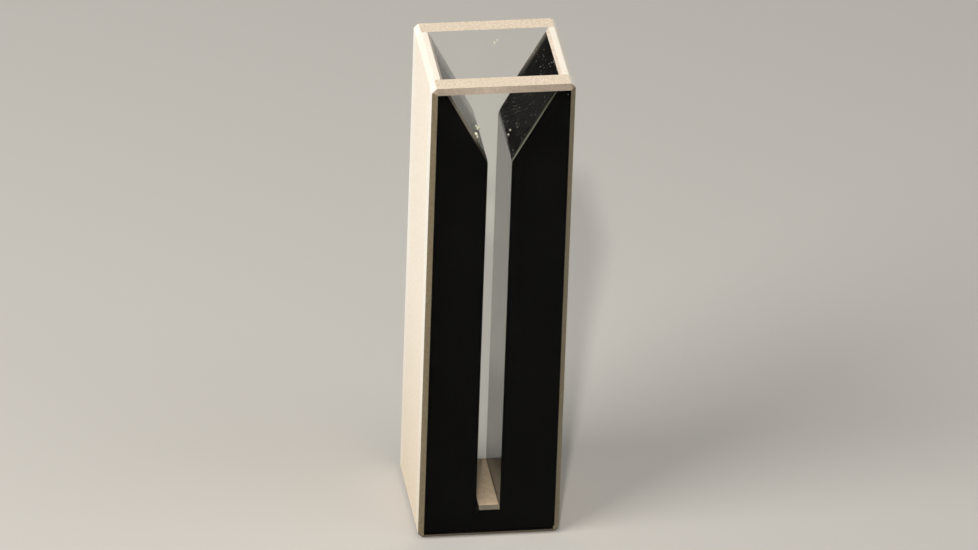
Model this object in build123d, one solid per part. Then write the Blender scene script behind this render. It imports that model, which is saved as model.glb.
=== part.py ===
"""Micro cuvette with a funnel mouth, fused from two clear windows, two black walls and a base bar.

The origin is the middle of the foot, +Z is up and -Y is the front window. Lengths are in millimetres.
"""
import os

from build123d import *

# The finished block, and the ground bevel that runs along all of its outer edges.
body_width = 12.5
body_depth = 12.5
body_height = 45.0
edge_arris = 0.4

# The two clear windows, polished on both large faces.
window_thickness = 2.0

# The narrow chamber between the black walls, and the bar that closes it at the foot.
slit_width = 2.1
floor_height = 2.3
floor_arris = 0.3

# The funnel: the walls' width at the rim, the mouth's ground bevel, and how far the slants reach down.
rim_width = 1.2
mouth_bevel = 0.25
funnel_depth = 7.6
slant_arris = 0.2

# A face counts as slanted when its normal leans this far out of both main directions.
lean_share = 0.1

chamber_depth = body_depth - 2 * window_thickness
half_width = body_width / 2
half_slit = slit_width / 2
half_mouth = half_width - rim_width
funnel_foot = body_height - funnel_depth
bevel_foot = body_height - mouth_bevel
window_middle = (window_thickness - body_depth) / 2
on_foot = (Align.CENTER, Align.CENTER, Align.MIN)

# The outside is ground after fusing, so one bevelled block trims every piece that reaches the surface.
ground_block = Box(body_width, body_depth, body_height, align=on_foot)
ground_block = chamfer(ground_block.edges(), edge_arris)

# Front window: a plate over the full width and height. The rear window is its mirror image.
window_plate = Pos(0, window_middle, 0) * Box(body_width, window_thickness, body_height, align=on_foot)
front_window = window_plate & ground_block
rear_window = mirror(front_window, about=Plane.XZ)

# Left wall: a block with the foot, the chamber's face, the slant, the mouth's bevel and the rim in its outline.
wall_outline = Polygon(
    (-half_width, 0),
    (-half_slit, 0),
    (-half_slit, funnel_foot),
    (-half_mouth, bevel_foot),
    (-half_mouth - mouth_bevel, body_height),
    (-half_width, body_height),
    align=None,
)
wall_blank = extrude(Plane.XZ * wall_outline, amount=chamber_depth / 2, both=True)


def leans(face):
    """True for a face that is neither upright nor level."""
    normal = face.normal_at()
    return min(abs(normal.X), abs(normal.Z)) > lean_share


# The slant's two long edges are broken by a fine ground bevel where they meet the windows.
slant = wall_blank.faces().filter_by(leans).sort_by(SortBy.AREA)[-1]
slant_edges = slant.edges().filter_by(Axis.Y, reverse=True)
wall_blank = chamfer(slant_edges, slant_arris)
left_wall = wall_blank & ground_block
right_wall = mirror(left_wall, about=Plane.YZ)

# Base bar: fills the chamber's foot. Its top is the chamber's floor, bevelled along both windows.
base = Box(slit_width, chamber_depth, floor_height, align=on_foot)
floor_edges = base.faces().sort_by(Axis.Z)[-1].edges().filter_by(Axis.X)
base = chamfer(floor_edges, floor_arris)

os.makedirs("parts", exist_ok=True)
export_step(front_window, "parts/front_window.step")
export_step(rear_window, "parts/rear_window.step")
export_step(left_wall, "parts/left_wall.step")
export_step(right_wall, "parts/right_wall.step")
export_step(base, "parts/base.step")
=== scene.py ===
import math
import random

import bmesh
import bpy
from mathutils import Matrix, Vector


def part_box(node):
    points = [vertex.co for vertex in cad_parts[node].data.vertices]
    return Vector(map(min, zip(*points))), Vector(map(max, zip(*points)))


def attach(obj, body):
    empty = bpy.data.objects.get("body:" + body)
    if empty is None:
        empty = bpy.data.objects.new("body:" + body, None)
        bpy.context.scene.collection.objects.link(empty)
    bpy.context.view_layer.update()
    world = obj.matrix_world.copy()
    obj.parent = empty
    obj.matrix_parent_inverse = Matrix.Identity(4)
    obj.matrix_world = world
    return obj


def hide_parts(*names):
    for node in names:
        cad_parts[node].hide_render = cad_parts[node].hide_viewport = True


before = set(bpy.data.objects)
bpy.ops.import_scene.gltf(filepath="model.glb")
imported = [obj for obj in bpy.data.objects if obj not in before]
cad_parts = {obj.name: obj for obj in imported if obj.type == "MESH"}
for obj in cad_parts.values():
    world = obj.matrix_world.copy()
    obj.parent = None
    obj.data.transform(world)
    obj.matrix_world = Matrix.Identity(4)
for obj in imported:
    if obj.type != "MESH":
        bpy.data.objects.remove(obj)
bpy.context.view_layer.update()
scene = bpy.context.scene

# Base bar: a short bar of black glass, fused between the two walls to close the chamber at the foot.
# Its top is ground, so it shows as a pale floor, and its bevels along the windows are ground too, coloured
# dark as painted shade.
# The edge beside the left wall is broken wide and coloured black as a painted shadow on the floor, the one
# beside the right wall thin and pale.
MM = 0.001
weld = 0.0005 * MM
flat_angle = math.radians(1.0)
fused_overlap = 0.01 * MM
window_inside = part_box("base")[1].y
left_seam_width = 0.30 * MM
right_seam_width = 0.08 * MM
square_on = 0.99
leaning = 0.1


def shape_of(node):
    """The node's own shape with its corners welded and its flat faces whole."""
    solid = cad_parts[node].data
    loose = bpy.data.meshes.new(node + "_loose")
    loose.from_pydata([v.co for v in solid.vertices], [], [f.vertices for f in solid.polygons])
    shape = bmesh.new()
    shape.from_mesh(loose)
    bpy.data.meshes.remove(loose)
    bmesh.ops.remove_doubles(shape, verts=shape.verts, dist=weld)
    bmesh.ops.dissolve_limit(shape, angle_limit=flat_angle, verts=shape.verts, edges=shape.edges)
    bmesh.ops.recalc_face_normals(shape, faces=shape.faces)
    return shape


def sink_into_windows(shape):
    """Lets a black piece reach a hair into both windows, as fused glass has no gap to shine."""
    for vert in shape.verts:
        if abs(vert.co.y) > window_inside - fused_overlap:
            vert.co.y += math.copysign(fused_overlap, vert.co.y)


def seen_piece(name, shape, finishes, node=None):
    """Makes the shape a piece of the cuvette, in the node's place if one is named."""
    mesh = bpy.data.meshes.new(name)
    shape.to_mesh(mesh)
    shape.free()
    for finish in finishes:
        mesh.materials.append(finish)
    piece = bpy.data.objects.new(name, mesh)
    scene.collection.objects.link(piece)
    if node:
        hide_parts(node)
    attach(piece, "root")


def new_finish(name):
    """A node material: gives the material, its nodes, its links and its shader."""
    finish = bpy.data.materials.new(name)
    finish.use_nodes = True
    tree = finish.node_tree
    return finish, tree.nodes, tree.links, tree.nodes["Principled BSDF"]


def noise(nodes, links, size, detail, stretch=(1.0, 1.0, 1.0)):
    """A noise pattern with features of a given size on the piece's own coordinates."""
    place = nodes.new("ShaderNodeTexCoord")
    scale = nodes.new("ShaderNodeMapping")
    scale.inputs["Scale"].default_value = [s / size for s in stretch]
    pattern = nodes.new("ShaderNodeTexNoise")
    pattern.inputs["Scale"].default_value = 1.0
    pattern.inputs["Detail"].default_value = detail
    links.new(place.outputs["Object"], scale.inputs["Vector"])
    links.new(scale.outputs["Vector"], pattern.inputs["Vector"])
    return pattern.outputs["Fac"]


def two_tones(nodes, links, pattern, low, high, dull, pale):
    """Turns a pattern into a colour between two tones."""
    tone = nodes.new("ShaderNodeValToRGB")
    tone.color_ramp.elements[0].position = low
    tone.color_ramp.elements[0].color = (*dull, 1.0)
    tone.color_ramp.elements[1].position = high
    tone.color_ramp.elements[1].color = (*pale, 1.0)
    links.new(pattern, tone.inputs["Fac"])
    return tone.outputs["Color"]


glass_index = 1.46
ground_roughness = 0.85
mottle_detail = 5.0
mottle_dull_at = 0.36
mottle_pale_at = 0.62
pit_size = 0.06 * MM
pit_detail = 3.0
pit_depth = 0.015 * MM
pit_strength = 0.4


def ground_finish(name, pale, dull, grain, roughness=ground_roughness, clear=0.0):
    """Ground glass: a pale mottle as fine as the grit, with small pits that break the light."""
    finish, nodes, links, shader = new_finish(name)
    mottle = noise(nodes, links, grain, mottle_detail)
    tone = two_tones(nodes, links, mottle, mottle_dull_at, mottle_pale_at, dull, pale)
    links.new(tone, shader.inputs["Base Color"])
    pits = nodes.new("ShaderNodeBump")
    pits.inputs["Strength"].default_value = pit_strength
    pits.inputs["Distance"].default_value = pit_depth
    links.new(noise(nodes, links, pit_size, pit_detail), pits.inputs["Height"])
    links.new(pits.outputs["Normal"], shader.inputs["Normal"])
    shader.inputs["Roughness"].default_value = roughness
    shader.inputs["Transmission Weight"].default_value = clear
    shader.inputs["IOR"].default_value = glass_index
    return finish


cloud_size = 3.0 * MM
cloud_detail = 4.0
noise_low = 0.3
noise_high = 0.7
deep_black = (0.0008, 0.0008, 0.0007)
soft_black = (0.002, 0.002, 0.0018)
# Black glass for fused faces and the bar's body; the same black also stands in as painted shade on the bar's
# left edge and under the windows.
fused_black_and_painted_shade, nodes, links, shader = new_finish("fused_black_and_painted_shade")
cloud = noise(nodes, links, cloud_size, cloud_detail)
cloud_tone = two_tones(nodes, links, cloud, noise_low, noise_high, deep_black, soft_black)
links.new(cloud_tone, shader.inputs["Base Color"])
shader.inputs["Roughness"].default_value = 1.0
shader.inputs["Specular IOR Level"].default_value = 0.0

floor_grain = 0.35 * MM
seam_grain = 0.2 * MM
ground_floor = ground_finish("ground_floor", (0.47, 0.36, 0.26), (0.40, 0.30, 0.21), floor_grain)
# The floor's bevels are coloured dark as painted shade.
floor_bevel_painted_shade = ground_finish("floor_bevel_painted_shade", (0.12, 0.10, 0.075), (0.085, 0.07, 0.055), seam_grain)
floor_seam = ground_finish("floor_seam", (0.33, 0.25, 0.17), (0.26, 0.20, 0.13), seam_grain)

BAR, FLOOR, FLOOR_BEVEL, PALE_SEAM, PAINTED_SHADOW_SEAM = range(5)
base_finishes = (fused_black_and_painted_shade, ground_floor, floor_bevel_painted_shade, floor_seam, fused_black_and_painted_shade)
base_shape = shape_of("base")
for face in base_shape.faces:
    if face.normal.z > square_on:
        face.material_index = FLOOR
    elif face.normal.z > leaning:
        face.material_index = FLOOR_BEVEL
# The wide left edge carries the black finish as a painted shadow of the left wall on the floor.
for way, width, seam in ((-1, left_seam_width, PAINTED_SHADOW_SEAM), (1, right_seam_width, PALE_SEAM)):
    wall_edges = [
        edge
        for edge in base_shape.edges
        if sorted(face.material_index for face in edge.link_faces) in ([BAR, FLOOR], [BAR, FLOOR_BEVEL])
        and all(vert.co.x * way > 0 for vert in edge.verts)
    ]
    bmesh.ops.bevel(base_shape, geom=wall_edges, offset=width, segments=1, affect="EDGES", material=seam)
sink_into_windows(base_shape)
seen_piece("base_bar", base_shape, base_finishes, "base")

# Black walls: two mirrored blocks of black glass, fused to the windows, whose slanted tops make the funnel.
# The slants and the chamber's faces are polished; the outsides, the rim and the fine bevels are ground.
# The slants' feet are rounded, ground edges are a little soft, the ground sides darken toward the foot as
# painted shade, and a pale tone lies over the rear top of the right slant.
mouth_foot = 44.75 * MM
foot_round = 0.55 * MM
foot_round_steps = 4
edge_break = 0.07 * MM
edge_break_steps = 2
round_profile = 0.5
sharp_angle = math.radians(20.0)
steep = 0.8


def spread(nodes, links, pattern, low, high):
    """Turns a pattern into a number between two values."""
    span = nodes.new("ShaderNodeMapRange")
    span.inputs["From Min"].default_value = noise_low
    span.inputs["From Max"].default_value = noise_high
    span.inputs["To Min"].default_value = low
    span.inputs["To Max"].default_value = high
    links.new(pattern, span.inputs["Value"])
    return span.outputs["Result"]


def rise_along(nodes, links, axis, start, end, both_ways=False):
    """A number that rises from 0 to 1 between two places along one axis of the piece."""
    place = nodes.new("ShaderNodeTexCoord")
    split = nodes.new("ShaderNodeSeparateXYZ")
    links.new(place.outputs["Object"], split.inputs["Vector"])
    along = split.outputs[axis]
    if both_ways:
        from_middle = nodes.new("ShaderNodeMath")
        from_middle.operation = "ABSOLUTE"
        links.new(along, from_middle.inputs[0])
        along = from_middle.outputs["Value"]
    rise = nodes.new("ShaderNodeMapRange")
    rise.inputs["From Min"].default_value = start
    rise.inputs["From Max"].default_value = end
    links.new(along, rise.inputs["Value"])
    return rise.outputs["Result"]


def product(nodes, links, first, second):
    """Two numbers multiplied."""
    times = nodes.new("ShaderNodeMath")
    times.operation = "MULTIPLY"
    links.new(first, times.inputs[0])
    links.new(second, times.inputs[1])
    return times.outputs["Value"]


def laid_over(finish, how, amount):
    """Mixes a second colour into the finish's own by an amount, and gives the socket that takes it."""
    nodes, links = finish.node_tree.nodes, finish.node_tree.links
    base_colour = nodes["Principled BSDF"].inputs["Base Color"]
    mixed = nodes.new("ShaderNodeMix")
    mixed.data_type = "RGBA"
    mixed.blend_type = how
    links.new(amount, mixed.inputs["Factor"])
    links.new(base_colour.links[0].from_socket, mixed.inputs["A"])
    links.new(mixed.outputs["Result"], base_colour)
    return mixed.inputs["B"]


polish_index = 1.5
haze_size = 2.5 * MM
haze_detail = 6.0
haze_roughness = (0.02, 0.12)
polished_black, nodes, links, shader = new_finish("polished_black")
haze = noise(nodes, links, haze_size, haze_detail)
links.new(spread(nodes, links, haze, *haze_roughness), shader.inputs["Roughness"])
shader.inputs["Base Color"].default_value = (0.004, 0.004, 0.0035, 1.0)
shader.inputs["IOR"].default_value = polish_index

streak_size = 0.35 * MM
streak_detail = 4.0
streak_stretch = (0.03, 1.0, 0.06)
streak_dull_at = 0.5
streak_pale_at = 0.8
dark_streak = (0.0015, 0.0015, 0.0013)
pale_streak = (0.012, 0.010, 0.008)
streak_roughness = (0.02, 0.25)
ripple_strength = 0.6


def slant_finish(name, gloss_index, ripple_depth):
    """Polished black glass with faint streaks that run down the slant."""
    finish, nodes, links, shader = new_finish(name)
    streaks = noise(nodes, links, streak_size, streak_detail, streak_stretch)
    tone = two_tones(nodes, links, streaks, streak_dull_at, streak_pale_at, dark_streak, pale_streak)
    links.new(tone, shader.inputs["Base Color"])
    links.new(spread(nodes, links, streaks, *streak_roughness), shader.inputs["Roughness"])
    ripple = nodes.new("ShaderNodeBump")
    ripple.inputs["Strength"].default_value = ripple_strength
    ripple.inputs["Distance"].default_value = ripple_depth
    links.new(streaks, ripple.inputs["Height"])
    links.new(ripple.outputs["Normal"], shader.inputs["Normal"])
    shader.inputs["IOR"].default_value = gloss_index
    return finish, nodes, links, shader


left_ripple = 0.20 * MM
left_sheen_rear = 4.0 * MM
bright_slant, nodes, links, shader = slant_finish("bright_slant", polish_index, left_ripple)
links.new(rise_along(nodes, links, "Y", 0.0, left_sheen_rear), shader.inputs["Coat Weight"])
shader.inputs["Coat Roughness"].default_value = 0.05
shader.inputs["Coat IOR"].default_value = 1.8

right_gloss_index = 1.07
right_ripple = 0.04 * MM
pale_band_front = 3.0 * MM
pale_band_rear = 4.05 * MM
pale_band_foot = 39.8 * MM
pale_band_top = 42.5 * MM
faint_band_share = 0.82
no_band = (0.0, 0.0, 0.0)
faint_band = (0.13, 0.12, 0.10)
full_band = (0.42, 0.39, 0.34)
dull_slant, nodes, links, shader = slant_finish("dull_slant", right_gloss_index, right_ripple)
# A pale tone is laid over the right slant, rising toward the rear window and toward the top.
to_rear = rise_along(nodes, links, "Y", pale_band_front, pale_band_rear)
to_top = rise_along(nodes, links, "Z", pale_band_foot, pale_band_top)
pale_band = two_tones(nodes, links, to_rear, 0.0, 1.0, no_band, full_band)
pale_band_bend = pale_band.node.color_ramp.elements.new(faint_band_share)
pale_band_bend.color = (*faint_band, 1.0)
links.new(pale_band, laid_over(dull_slant, "ADD", to_top))

foot_shade = (0.86, 0.80, 0.73)
shade_top = 22.0 * MM


def shaded_toward_foot(finish):
    """Darkens a ground finish more and more toward the foot, as painted shade where less light reaches."""
    to_foot = rise_along(finish.node_tree.nodes, finish.node_tree.links, "Z", shade_top, 0.0)
    foot_shading = laid_over(finish, "MULTIPLY", to_foot)
    foot_shading.default_value = (*foot_shade, 1.0)
    return finish


side_grain = 0.3 * MM
bevel_grain = 0.25 * MM
# The walls' ground sides darken toward the foot as painted shade.
ground_wall = shaded_toward_foot(ground_finish("ground_wall", (0.96, 0.90, 0.80), (0.90, 0.83, 0.72), side_grain))
mouth_bevel = ground_finish("mouth_bevel", (0.80, 0.70, 0.60), (0.66, 0.57, 0.48), bevel_grain)
# The bevels at the foot are coloured dark as painted shade near the floor.
foot_bevel_painted_shade = ground_finish("foot_bevel_painted_shade", (0.21, 0.17, 0.12), (0.14, 0.115, 0.08), bevel_grain)

left_line_width = 0.17 * MM
right_line_width = 0.07 * MM
line_fade_share = 1.2
line_roughness = 0.8
line_gloss = 0.1
chip_size = 0.3 * MM
chip_detail = 4.0
chip_fade = 0.5 * MM
chip_brightness = (0.5, 1.0)
left_chips_above = 39.3 * MM
right_chips_above = 0.0


def line_finish(name, width, bright, dark, chipped_above):
    """The slant's fine bevel: ground and chipped where it meets the window, dark further in."""
    finish, nodes, links, shader = new_finish(name)
    line_inside = window_inside - width
    fade_inside = window_inside - width * line_fade_share
    at_window = rise_along(nodes, links, "Y", fade_inside, line_inside, both_ways=True)
    at_top = rise_along(nodes, links, "Z", chipped_above - chip_fade, chipped_above + chip_fade)
    chips = spread(nodes, links, noise(nodes, links, chip_size, chip_detail), *chip_brightness)
    ground = product(nodes, links, at_window, at_top)
    chipped = product(nodes, links, ground, chips)
    links.new(two_tones(nodes, links, chipped, 0.0, 1.0, dark, bright), shader.inputs["Base Color"])
    shader.inputs["Roughness"].default_value = line_roughness
    shader.inputs["Specular IOR Level"].default_value = line_gloss
    return finish


# The wide line's tones are lighter than the thin line's, partly for its ground, chipped edge and partly as
# painted reflection.
wide_line = line_finish(
    "wide_line", left_line_width, (0.22, 0.20, 0.16), (0.03, 0.027, 0.021), left_chips_above
)
thin_line = line_finish(
    "thin_line", right_line_width, (0.15, 0.15, 0.12), (0.006, 0.006, 0.005), right_chips_above
)

FUSED, POLISHED, SLANT, GROUND, MOUTH, LINE, FOOT = range(7)


def wall_finish(face):
    """Which finish a face of a wall has, from the way it looks."""
    normal = face.normal
    middle = face.calc_center_median()
    inward = -math.copysign(1.0, middle.x) * normal.x
    if max(abs(normal.y), -normal.z) > square_on:
        return FUSED
    if abs(normal.y) > leaning:
        return LINE
    if inward > square_on:
        return POLISHED
    if inward > steep:
        return SLANT
    if inward > leaning:
        return MOUTH
    if inward < -leaning and normal.z < -leaning:
        return FOOT
    return GROUND


def round_edges(shape, edges, width, steps):
    """Rounds some edges, with the finishes of the faces beside them."""
    bmesh.ops.bevel(
        shape,
        geom=edges,
        offset=width,
        segments=steps,
        profile=round_profile,
        affect="EDGES",
        material=-1,
    )


def soften(shape, finishes):
    """Rounds the edges between ground faces a little, as grinding leaves none of them sharp."""
    edges = [
        edge
        for edge in shape.edges
        if all(face.material_index in finishes for face in edge.link_faces)
        and edge.calc_face_angle() > sharp_angle
    ]
    round_edges(shape, edges, edge_break, edge_break_steps)


def pale_ends(shape):
    """Gives the slant's fine bevels the mouth's finish where they run out through it."""
    lines = [face for face in shape.faces if face.material_index == LINE]
    edges = {edge for face in lines for edge in face.edges}
    corners = {vert for face in lines for vert in face.verts}
    bmesh.ops.bisect_plane(
        shape, geom=[*lines, *edges, *corners], plane_co=(0.0, 0.0, mouth_foot), plane_no=(0.0, 0.0, 1.0)
    )
    for face in shape.faces:
        if face.material_index == LINE and face.calc_center_median().z > mouth_foot:
            face.material_index = MOUTH


def is_slant_foot(edge):
    """True for the edge where the slant runs into the chamber."""
    return sorted(face.material_index for face in edge.link_faces) == [POLISHED, SLANT]


for side, slant_black, slant_line in (("left", bright_slant, wide_line), ("right", dull_slant, thin_line)):
    wall_shape = shape_of(side + "_wall")
    for face in wall_shape.faces:
        face.material_index = wall_finish(face)
    foot_edges = [edge for edge in wall_shape.edges if is_slant_foot(edge)]
    round_edges(wall_shape, foot_edges, foot_round, foot_round_steps)
    soften(wall_shape, (GROUND, FOOT))
    pale_ends(wall_shape)
    sink_into_windows(wall_shape)
    seen_piece(
        side + "_black_wall",
        wall_shape,
        (fused_black_and_painted_shade, polished_black, slant_black, ground_wall, mouth_bevel, slant_line, foot_bevel_painted_shade),
        side + "_wall",
    )

# Clear windows: two plates of clear glass over the full width and height, fused onto the walls and the base.
# Both large faces are polished; the edges and the bevels round them are ground, and the underside and the
# foot's bevels are coloured dark as painted shade.
clear_haze_size = 3.0 * MM
clear_haze_detail = 5.0
clear_haze_roughness = (0.0, 0.02)
polished_clear, nodes, links, shader = new_finish("polished_clear")
clear_haze = noise(nodes, links, clear_haze_size, clear_haze_detail)
links.new(spread(nodes, links, clear_haze, *clear_haze_roughness), shader.inputs["Roughness"])
shader.inputs["Base Color"].default_value = (0.975, 0.982, 0.965, 1.0)
shader.inputs["Transmission Weight"].default_value = 1.0
shader.inputs["IOR"].default_value = glass_index
shader.inputs["Specular Tint"].default_value = (0.12, 0.12, 0.12, 1.0)
lamp_ray = nodes.new("ShaderNodeLightPath")
let_through = nodes.new("ShaderNodeBsdfTransparent")
let_through.inputs["Color"].default_value = (0.92, 0.93, 0.92, 1.0)
pane = nodes.new("ShaderNodeMixShader")
links.new(lamp_ray.outputs["Is Shadow Ray"], pane.inputs["Fac"])
links.new(shader.outputs["BSDF"], pane.inputs[1])
links.new(let_through.outputs["BSDF"], pane.inputs[2])
links.new(pane.outputs["Shader"], nodes["Material Output"].inputs["Surface"])

rim_grain = 0.16 * MM
ground_rim = ground_finish("ground_rim", (0.83, 0.72, 0.58), (0.66, 0.56, 0.43), rim_grain)
# The windows' ground sides darken toward the foot as painted shade.
ground_side = shaded_toward_foot(ground_finish("ground_side", (0.97, 0.94, 0.87), (0.92, 0.88, 0.80), side_grain))
rim_bevel = ground_finish(
    "rim_bevel", (0.81, 0.65, 0.50), (0.66, 0.52, 0.39), bevel_grain, roughness=0.5, clear=0.65
)
corner_bevel = ground_finish(
    "corner_bevel", (0.57, 0.46, 0.28), (0.44, 0.35, 0.20), bevel_grain, roughness=0.45, clear=0.7
)

CLEAR, RIM, SIDE, RIM_BEVEL, CORNER, STAND, UNDER = range(7)


def window_finish(face):
    """Which finish a face of a window has, from the way it looks."""
    normal = face.normal
    if abs(normal.y) > square_on:
        return CLEAR
    # The underside takes the black finish as painted shade where it sits on the floor.
    if normal.z < -square_on:
        return UNDER
    if normal.z > square_on:
        return RIM
    if normal.z < -leaning:
        return STAND
    if abs(normal.y) < leaning:
        return SIDE
    return CORNER if normal.z < leaning else RIM_BEVEL


for side in ("front", "rear"):
    window_shape = shape_of(side + "_window")
    for face in window_shape.faces:
        face.material_index = window_finish(face)
    soften(window_shape, (RIM, SIDE, RIM_BEVEL, CORNER, STAND))
    seen_piece(
        side + "_clear_window",
        window_shape,
        (polished_clear, ground_rim, ground_side, rim_bevel, corner_bevel, foot_bevel_painted_shade, fused_black_and_painted_shade),
        side + "_window",
    )

# Splinters: a few bright chips of glass caught at the foot of the slants, and lone specks on the windows.
# Each is a small faceted lump that sticks to the surface; its place and half sizes are in millimetres.
splinters = (
    ((-1.40, -0.32, 38.20), (0.24, 0.24, 0.27)),
    ((-1.60, -0.40, 38.50), (0.15, 0.16, 0.16)),
    ((-2.02, -2.89, 39.12), (0.27, 0.28, 0.25)),
    ((-1.84, -2.95, 38.86), (0.16, 0.18, 0.15)),
    ((1.42, -0.54, 38.05), (0.10, 0.14, 0.13)),
    ((1.24, -0.73, 37.72), (0.10, 0.13, 0.11)),
    ((0.87, 4.23, 43.89), (0.15, 0.02, 0.15)),
    ((0.65, 4.23, 43.61), (0.13, 0.02, 0.17)),
    ((5.73, -4.30, 43.44), (0.07, 0.03, 0.06)),
    ((3.03, -4.28, 23.17), (0.03, 0.01, 0.03)),
)
splinter_corners = 14
shortest_reach = 0.7
splinter_seed = 11

sparkle_size = 0.12 * MM
sparkle_detail = 3.0
sparkle_dull_at = 0.3
sparkle_pale_at = 0.5
sparkle_roughness = (0.15, 0.4)
facet_size = 0.09 * MM
facet_detail = 1.0
facet_depth = 0.03 * MM
facet_strength = 0.4
splinter_glass, nodes, links, shader = new_finish("splinter_glass")
sparkle = noise(nodes, links, sparkle_size, sparkle_detail)
sparkle_tone = two_tones(
    nodes, links, sparkle, sparkle_dull_at, sparkle_pale_at, (0.90, 0.78, 0.58), (0.99, 0.95, 0.82)
)
links.new(sparkle_tone, shader.inputs["Base Color"])
links.new(spread(nodes, links, sparkle, *sparkle_roughness), shader.inputs["Roughness"])
facets = nodes.new("ShaderNodeBump")
facets.inputs["Strength"].default_value = facet_strength
facets.inputs["Distance"].default_value = facet_depth
links.new(noise(nodes, links, facet_size, facet_detail), facets.inputs["Height"])
links.new(facets.outputs["Normal"], shader.inputs["Normal"])
shader.inputs["IOR"].default_value = 1.6

chance = random.Random(splinter_seed)
splinter_shape = bmesh.new()
for place, half in splinters:
    corners = []
    for _ in range(splinter_corners):
        outward = Vector((chance.gauss(0, 1), chance.gauss(0, 1), chance.gauss(0, 1))).normalized()
        reach = chance.uniform(shortest_reach, 1.0)
        corner = [(p + h * o * reach) * MM for p, h, o in zip(place, half, outward)]
        corners.append(splinter_shape.verts.new(corner))
    hull = bmesh.ops.convex_hull(splinter_shape, input=corners)
    spare = [item for item in hull["geom_interior"] if isinstance(item, bmesh.types.BMVert)]
    bmesh.ops.delete(splinter_shape, geom=spare, context="VERTS")
bmesh.ops.recalc_face_normals(splinter_shape, faces=splinter_shape.faces)
seen_piece("glass_splinters", splinter_shape, (splinter_glass,))

# Dust: fine pale specks of ground glass that have settled on the two slants, most of them on the right one.
# They lie loose, scattered over the slants' own faces.
specks_per_area = 1800000.0
smallest_speck = 0.012 * MM
largest_speck = 0.055 * MM
dust_seed = 21
dust_share = {"left": 0.3, "right": 1.0}

grey_size = 0.8 * MM
grey_detail = 2.0
grey_dull_at = 0.35
grey_pale_at = 0.65
dust_white, nodes, links, shader = new_finish("dust_white")
grey = noise(nodes, links, grey_size, grey_detail)
grey_tone = two_tones(
    nodes, links, grey, grey_dull_at, grey_pale_at, (0.08, 0.075, 0.065), (0.62, 0.58, 0.51)
)
links.new(grey_tone, shader.inputs["Base Color"])
shader.inputs["Roughness"].default_value = 0.9

slant_faces = bmesh.new()
dustiness = slant_faces.faces.layers.float.new("dustiness")
for side in ("left", "right"):
    wall_mesh = bpy.data.objects[side + "_black_wall"].data
    for face in wall_mesh.polygons:
        if face.material_index == SLANT:
            corners = [slant_faces.verts.new(wall_mesh.vertices[v].co) for v in face.vertices]
            slant_face = slant_faces.faces.new(corners)
            slant_face[dustiness] = dust_share[side]
slant_mesh = bpy.data.meshes.new("slant_faces")
slant_faces.to_mesh(slant_mesh)
slant_faces.free()


def named_input(tree, name, kind):
    """Adds an input to a node tree and gives its identifier."""
    return tree.interface.new_socket(name, in_out="INPUT", socket_type=kind).identifier


dust_tree = bpy.data.node_groups.new("settled_dust", "GeometryNodeTree")
named_input(dust_tree, "Surface", "NodeSocketGeometry")
density_input = named_input(dust_tree, "Specks per area", "NodeSocketFloat")
small_input = named_input(dust_tree, "Smallest radius", "NodeSocketFloat")
large_input = named_input(dust_tree, "Largest radius", "NodeSocketFloat")
seed_input = named_input(dust_tree, "Seed", "NodeSocketInt")
dust_tree.interface.new_socket("Dust", in_out="OUTPUT", socket_type="NodeSocketGeometry")
nodes, links = dust_tree.nodes, dust_tree.links
entry = nodes.new("NodeGroupInput")
share = nodes.new("GeometryNodeInputNamedAttribute")
share.data_type = "FLOAT"
share.inputs["Name"].default_value = "dustiness"
scatter = nodes.new("GeometryNodeDistributePointsOnFaces")
speck = nodes.new("GeometryNodeMeshIcoSphere")
speck.inputs["Radius"].default_value = 1.0
speck.inputs["Subdivisions"].default_value = 1
radius = nodes.new("FunctionNodeRandomValue")
radius.data_type = "FLOAT_VECTOR"
settle = nodes.new("GeometryNodeInstanceOnPoints")
whole = nodes.new("GeometryNodeRealizeInstances")
coat = nodes.new("GeometryNodeSetMaterial")
coat.inputs["Material"].default_value = dust_white
leave = nodes.new("NodeGroupOutput")
density = product(nodes, links, share.outputs["Attribute"], entry.outputs["Specks per area"])
links.new(entry.outputs["Surface"], scatter.inputs["Mesh"])
links.new(density, scatter.inputs["Density"])
links.new(entry.outputs["Seed"], scatter.inputs["Seed"])
links.new(entry.outputs["Smallest radius"], radius.inputs["Min"])
links.new(entry.outputs["Largest radius"], radius.inputs["Max"])
links.new(entry.outputs["Seed"], radius.inputs["Seed"])
links.new(scatter.outputs["Points"], settle.inputs["Points"])
links.new(scatter.outputs["Rotation"], settle.inputs["Rotation"])
links.new(speck.outputs["Mesh"], settle.inputs["Instance"])
links.new(radius.outputs["Value"], settle.inputs["Scale"])
links.new(settle.outputs["Instances"], whole.inputs["Geometry"])
links.new(whole.outputs["Geometry"], coat.inputs["Geometry"])
links.new(coat.outputs["Geometry"], leave.inputs["Dust"])

dust_maker = bpy.data.objects.new("dust_maker", slant_mesh)
scene.collection.objects.link(dust_maker)
dusting = dust_maker.modifiers.new("settled_dust", "NODES")
dusting.node_group = dust_tree
dusting[density_input] = specks_per_area
dusting[small_input] = smallest_speck
dusting[large_input] = largest_speck
dusting[seed_input] = dust_seed
evaluated = dust_maker.evaluated_get(bpy.context.evaluated_depsgraph_get())
dust_mesh = bpy.data.meshes.new_from_object(evaluated)
bpy.data.objects.remove(dust_maker)
slant_dust = bpy.data.objects.new("slant_dust", dust_mesh)
scene.collection.objects.link(slant_dust)
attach(slant_dust, "root")

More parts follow.
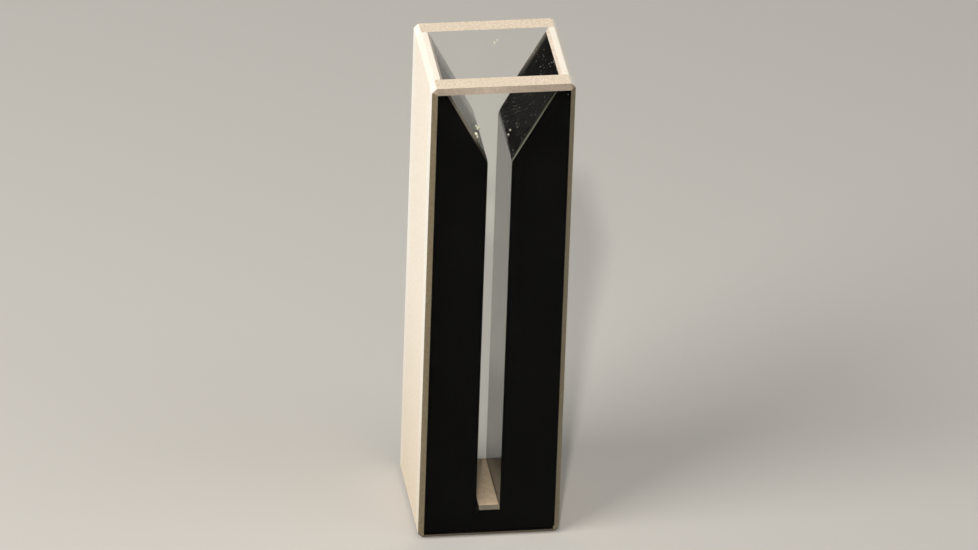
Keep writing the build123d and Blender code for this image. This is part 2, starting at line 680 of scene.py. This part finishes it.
# Studio: a plain pale floor under a wide soft lamp from the left, a front lamp that reaches into the chamber,
# a weaker lamp from the right, and a pale room.
floor_half = 3.0
floor_level = -0.005 * MM
floor_ways = ((-1, -1), (1, -1), (1, 1), (-1, 1))
floor_corners = [(x * floor_half, y * floor_half, floor_level) for x, y in floor_ways]
floor_mesh = bpy.data.meshes.new("studio_floor")
floor_mesh.from_pydata(floor_corners, [], [(0, 1, 2, 3)])
studio_floor = bpy.data.objects.new("studio_floor", floor_mesh)
scene.collection.objects.link(studio_floor)
floor_paint, nodes, links, shader = new_finish("floor_paint")
shader.inputs["Base Color"].default_value = (0.57, 0.555, 0.53, 1.0)
shader.inputs["Roughness"].default_value = 0.9
shader.inputs["Specular IOR Level"].default_value = 0.1
floor_mesh.materials.append(floor_paint)

lamp_target = Vector((0, 0, 22.5 * MM))
warm_light = (1.0, 0.96, 0.90)
soft_light = (1.0, 0.98, 0.96)


def soft_lamp(name, azimuth, height, distance, size, power, colour):
    """A square lamp that faces the middle of the cuvette."""
    lamp = bpy.data.lights.new(name, "AREA")
    lamp.size = size
    lamp.energy = power
    lamp.color = colour
    stand = bpy.data.objects.new(name, lamp)
    scene.collection.objects.link(stand)
    turn = math.radians(azimuth)
    rise = math.radians(height)
    back = Vector((math.sin(turn) * math.cos(rise), -math.cos(turn) * math.cos(rise), math.sin(rise)))
    stand.location = lamp_target + back * distance
    stand.rotation_euler = back.to_track_quat("Z", "Y").to_euler()


soft_lamp("left_lamp", azimuth=-66.0, height=40.0, distance=0.34, size=0.19, power=0.89, colour=warm_light)
soft_lamp("front_lamp", azimuth=-12.3, height=42.0, distance=0.80, size=0.03, power=2.4, colour=warm_light)
soft_lamp("right_lamp", azimuth=62.0, height=45.0, distance=0.70, size=0.40, power=0.8, colour=soft_light)

room = bpy.data.worlds.new("room")
room.use_nodes = True
room.node_tree.nodes["Background"].inputs["Color"].default_value = (1.0, 0.985, 0.96, 1.0)
room.node_tree.nodes["Background"].inputs["Strength"].default_value = 0.24
scene.world = room
scene.view_settings.view_transform = "Standard"

# Camera: a long lens that looks down from the front and a little from the left, rolled slightly.
# Its focal length is in pixels of the picture, as it was fitted to the picture's edges.
picture_width = 978
focal_pixels = 11622
sight_turn = math.radians(-9.03)
sight_rise = math.radians(30.04)
sight_roll = math.radians(2.02)
sight_distance = 1.013
sight_target = Vector((0.19 * MM, 0, 22.89 * MM))
lens = bpy.data.cameras.new("picture_camera")
lens.sensor_width = 36.0
lens.lens = lens.sensor_width * focal_pixels / picture_width
lens.clip_start = 0.01
lens.clip_end = 100.0
camera = bpy.data.objects.new("picture_camera", lens)
scene.collection.objects.link(camera)
level = Vector((math.cos(sight_turn), math.sin(sight_turn), 0))
ahead = Vector((-math.sin(sight_turn), math.cos(sight_turn), 0))
back = math.sin(sight_rise) * Vector((0, 0, 1)) - math.cos(sight_rise) * ahead
upright = back.cross(level)
across = math.cos(sight_roll) * level + math.sin(sight_roll) * upright
up = math.cos(sight_roll) * upright - math.sin(sight_roll) * level
turned = Matrix((across, up, back)).transposed().to_4x4()
camera.matrix_world = Matrix.Translation(sight_target + back * sight_distance) @ turned
scene.camera = camera
